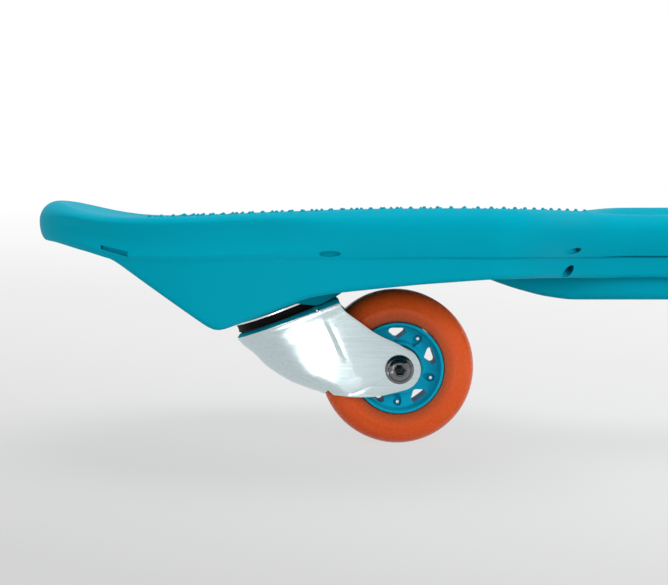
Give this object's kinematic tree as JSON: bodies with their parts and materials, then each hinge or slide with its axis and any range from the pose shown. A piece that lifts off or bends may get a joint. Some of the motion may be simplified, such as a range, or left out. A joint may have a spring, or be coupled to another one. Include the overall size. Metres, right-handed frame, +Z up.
{
  "type": "caster board",
  "caption": "Narrow-waisted plastic riding board with a twisting neck, dished foot plates and inclined swivel casters in line under its nose and tail.",
  "frame": {"origin": "on the floor, midway between nose and tail, on the board's centre plane", "axes": "+X runs from the nose to the tail, +Z is up, and +Y is to the left when looking from the nose towards the tail"},
  "size_m": [0.686, 0.203, 0.1214],
  "materials": {
    "deck_polymer": "injection moulded, satin gloss",
    "hub_polymer": "injection moulded, satin gloss",
    "plated_steel": "pressed, zinc plated, lightly brushed",
    "dark_steel": "cold forged, black chrome",
    "bearing_steel": "ground and polished",
    "seal_rubber": "moulded, matt",
    "urethane": "cast urethane, satin"
  },
  "bodies": {
    "front_deck": {"front_deck": "deck_polymer", "front_mount_plate": "plated_steel", "front_mount_screw_1": "dark_steel", "front_mount_screw_2": "dark_steel", "front_mount_screw_3": "dark_steel", "front_mount_screw_4": "dark_steel", "front_kingpin": "dark_steel", "front_dust_seal": "seal_rubber", "front_swivel_race_cup": "plated_steel", "front_kingpin_nut": "plated_steel"},
    "front_fork": {"front_fork": "plated_steel", "front_axle_bolt": "dark_steel", "front_axle_nut": "dark_steel", "front_axle_spacer_right": "plated_steel", "front_bearing_right_inner_ring": "bearing_steel", "front_axle_spacer_left": "plated_steel", "front_bearing_left_inner_ring": "bearing_steel", "front_bearing_spacer": "plated_steel"},
    "front_wheel": {"front_bearing_right_outer_ring": "bearing_steel", "front_bearing_right_shield": "plated_steel", "front_bearing_left_outer_ring": "bearing_steel", "front_bearing_left_shield": "plated_steel", "front_hub": "hub_polymer", "front_tyre": "urethane"},
    "front_wheel_balls": {"front_bearing_right_balls": "bearing_steel", "front_bearing_left_balls": "bearing_steel"},
    "front_swivel_balls": {"front_upper_swivel_balls": "bearing_steel", "front_lower_swivel_balls": "bearing_steel"},
    "rear_deck": {"rear_deck": "deck_polymer", "rear_mount_plate": "plated_steel", "rear_mount_screw_1": "dark_steel", "rear_mount_screw_2": "dark_steel", "rear_mount_screw_3": "dark_steel", "rear_mount_screw_4": "dark_steel", "rear_kingpin": "dark_steel", "rear_dust_seal": "seal_rubber", "rear_swivel_race_cup": "plated_steel", "rear_kingpin_nut": "plated_steel"},
    "rear_fork": {"rear_fork": "plated_steel", "rear_axle_bolt": "dark_steel", "rear_axle_nut": "dark_steel", "rear_axle_spacer_right": "plated_steel", "rear_bearing_right_inner_ring": "bearing_steel", "rear_axle_spacer_left": "plated_steel", "rear_bearing_left_inner_ring": "bearing_steel", "rear_bearing_spacer": "plated_steel"},
    "rear_wheel": {"rear_bearing_right_outer_ring": "bearing_steel", "rear_bearing_right_shield": "plated_steel", "rear_bearing_left_outer_ring": "bearing_steel", "rear_bearing_left_shield": "plated_steel", "rear_hub": "hub_polymer", "rear_tyre": "urethane"},
    "rear_wheel_balls": {"rear_bearing_right_balls": "bearing_steel", "rear_bearing_left_balls": "bearing_steel"},
    "rear_swivel_balls": {"rear_upper_swivel_balls": "bearing_steel", "rear_lower_swivel_balls": "bearing_steel"}
  },
  "joints": [
    {"name": "deck_twist", "type": "hinge", "parent": "front_deck", "child": "rear_deck", "pos_m": [0, 0, 0.093], "axis": [1, 0, 0], "range_deg": [-20, 20], "stiffness_Nm_per_rad": 50},
    {"name": "front_swivel", "type": "hinge", "parent": "front_deck", "child": "front_fork", "pos_m": [-0.2227, 0, 0.06882], "axis": [-0.3584, 0, 0.9336], "continuous": true},
    {"name": "front_wheel_spin", "type": "hinge", "parent": "front_fork", "child": "front_wheel", "pos_m": [-0.16599, 0, 0.038], "axis": [0, 1, 0], "continuous": true},
    {"name": "front_swivel_ball_orbit", "type": "hinge", "parent": "front_deck", "child": "front_swivel_balls", "pos_m": [-0.2227, 0, 0.06882], "axis": [-0.3584, 0, 0.9336], "continuous": true},
    {"name": "front_wheel_ball_orbit", "type": "hinge", "parent": "front_fork", "child": "front_wheel_balls", "pos_m": [-0.16599, 0, 0.038], "axis": [0, 1, 0], "continuous": true},
    {"name": "rear_swivel", "type": "hinge", "parent": "rear_deck", "child": "rear_fork", "pos_m": [0.1663, 0, 0.06882], "axis": [-0.3584, 0, 0.9336], "continuous": true},
    {"name": "rear_wheel_spin", "type": "hinge", "parent": "rear_fork", "child": "rear_wheel", "pos_m": [0.22301, 0, 0.038], "axis": [0, 1, 0], "continuous": true},
    {"name": "rear_swivel_ball_orbit", "type": "hinge", "parent": "rear_deck", "child": "rear_swivel_balls", "pos_m": [0.1663, 0, 0.06882], "axis": [-0.3584, 0, 0.9336], "continuous": true},
    {"name": "rear_wheel_ball_orbit", "type": "hinge", "parent": "rear_fork", "child": "rear_wheel_balls", "pos_m": [0.22301, 0, 0.038], "axis": [0, 1, 0], "continuous": true}
  ],
  "couplings": [
    {"joint": "front_swivel_ball_orbit", "follows": "front_swivel", "ratio": 0.5},
    {"joint": "front_wheel_ball_orbit", "follows": "front_wheel_spin", "ratio": 0.6026},
    {"joint": "rear_swivel_ball_orbit", "follows": "rear_swivel", "ratio": 0.5},
    {"joint": "rear_wheel_ball_orbit", "follows": "rear_wheel_spin", "ratio": 0.6026}
  ]
}
